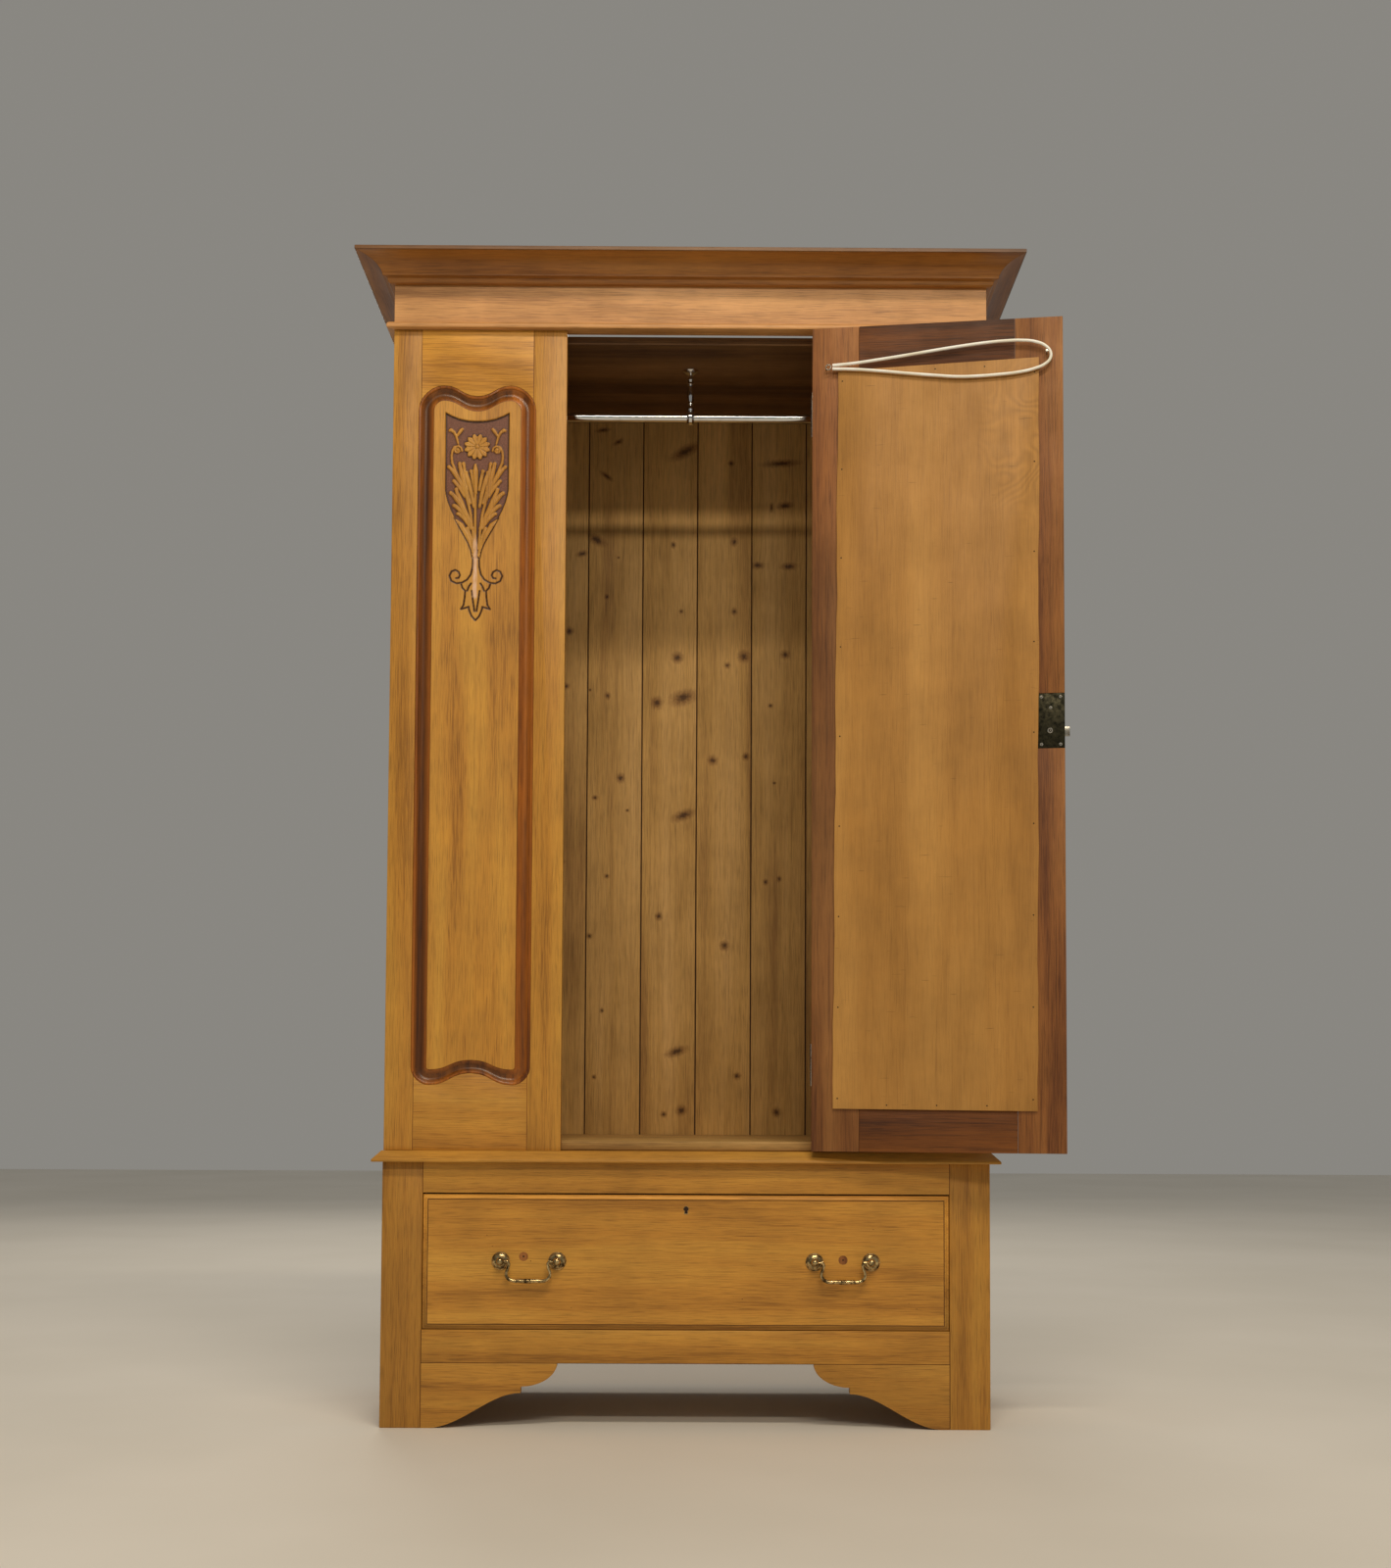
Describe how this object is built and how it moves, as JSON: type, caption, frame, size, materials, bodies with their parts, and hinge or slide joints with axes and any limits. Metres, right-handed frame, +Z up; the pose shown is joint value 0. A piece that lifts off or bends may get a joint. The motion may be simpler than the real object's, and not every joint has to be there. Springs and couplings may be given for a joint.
{
  "type": "wardrobe",
  "caption": "Single wardrobe with an open mirror door between carved flanks, a coved cornice, a hanging rail, and a base with a long drawer on bracket feet",
  "frame": {"origin": "middle of the footprint of the whole wardrobe, open door and cornice included, on the floor", "axes": "+Z up, +Y towards the back, +X to the right as seen from the front"},
  "size_m": [1.1954, 0.5606, 1.98],
  "materials": {
    "satin_walnut": "satin polished",
    "dark_walnut": "satin polished",
    "mahogany": "polished",
    "pine": "bare, darkened with age",
    "backing_board": "thin wax",
    "chrome_plate": "bright plate",
    "antique_brass": "aged, rubbed on its high spots",
    "lock_bronze": "dark with age",
    "steel": "dull bright steel",
    "mirror_glass": "silvered plate with a bevelled edge",
    "wire_sleeve": "semi-gloss plastic sleeve over a sprung wire"
  },
  "bodies": {
    "carcase": {"base_stile_left": "satin_walnut", "base_stile_right": "satin_walnut", "base_top_rail": "satin_walnut", "base_bottom_rail": "satin_walnut", "bracket_foot_left": "satin_walnut", "bracket_foot_right": "satin_walnut", "base_side_left": "satin_walnut", "base_side_right": "satin_walnut", "base_top": "satin_walnut", "flank_left_frame": "satin_walnut", "flank_right_frame": "satin_walnut", "flank_left_panel": "satin_walnut", "flank_right_panel": "satin_walnut", "upper_side_left": "satin_walnut", "upper_side_right": "satin_walnut", "cornice_front": "satin_walnut", "cornice_left": "satin_walnut", "cornice_right": "satin_walnut", "flank_left_moulding": "mahogany", "flank_right_moulding": "mahogany", "back_boarding": "pine", "floor_board": "pine", "ceiling_board": "pine", "cornice_back_rail": "pine", "base_back": "pine", "drawer_runner_left": "pine", "drawer_runner_right": "pine", "hanging_rail": "chrome_plate", "rail_socket_left": "chrome_plate", "rail_socket_right": "chrome_plate", "rail_centre_support": "chrome_plate", "hinge_lower_frame_leaf": "steel", "hinge_upper_frame_leaf": "steel"},
    "door": {"door_hinge_stile": "satin_walnut", "door_lock_stile": "satin_walnut", "door_top_rail": "dark_walnut", "door_bottom_rail": "dark_walnut", "door_moulding": "mahogany", "door_mirror": "mirror_glass", "door_backing_board": "backing_board", "door_lock": "lock_bronze", "hinge_lower_door_leaf": "steel", "hinge_upper_door_leaf": "steel", "wire_nail": "steel", "wire_screw_eye": "steel", "curtain_wire": "wire_sleeve"},
    "drawer": {"drawer_front": "satin_walnut", "drawer_side_left": "pine", "drawer_side_right": "pine", "drawer_back": "pine", "drawer_bottom": "pine", "drawer_lock": "lock_bronze", "handle_left_post_left": "antique_brass", "handle_left_post_right": "antique_brass", "handle_right_post_left": "antique_brass", "handle_right_post_right": "antique_brass"},
    "door_bolt": {"door_lock_bolt": "steel"},
    "drawer_bolt": {"drawer_lock_bolt": "antique_brass"},
    "bail_left": {"handle_left_bail": "antique_brass"},
    "bail_right": {"handle_right_bail": "antique_brass"}
  },
  "joints": [
    {"name": "door_hinge", "type": "hinge", "parent": "carcase", "child": "door", "pos_m": [0.17879, -0.17666, 1.157], "axis": [0, 0, 1], "range_deg": [-171, 5]},
    {"name": "door_lock_bolt_slide", "type": "slide", "parent": "door", "child": "door_bolt", "axis": [0.9877, -0.1564, 0], "range_m": [-0.008, 0]},
    {"name": "drawer_slide", "type": "slide", "parent": "carcase", "child": "drawer", "axis": [0, -1, 0], "range_m": [0, 0.32]},
    {"name": "drawer_lock_bolt_slide", "type": "slide", "parent": "drawer", "child": "drawer_bolt", "axis": [0, 0, 1], "range_m": [0, 0.008]},
    {"name": "bail_left_swing", "type": "hinge", "parent": "drawer", "child": "bail_left", "pos_m": [-0.29221, -0.19366, 0.27575], "axis": [-1, 0, 0], "range_deg": [-17, 85]},
    {"name": "bail_right_swing", "type": "hinge", "parent": "drawer", "child": "bail_right", "pos_m": [0.22979, -0.19366, 0.27575], "axis": [-1, 0, 0], "range_deg": [-17, 85]}
  ]
}
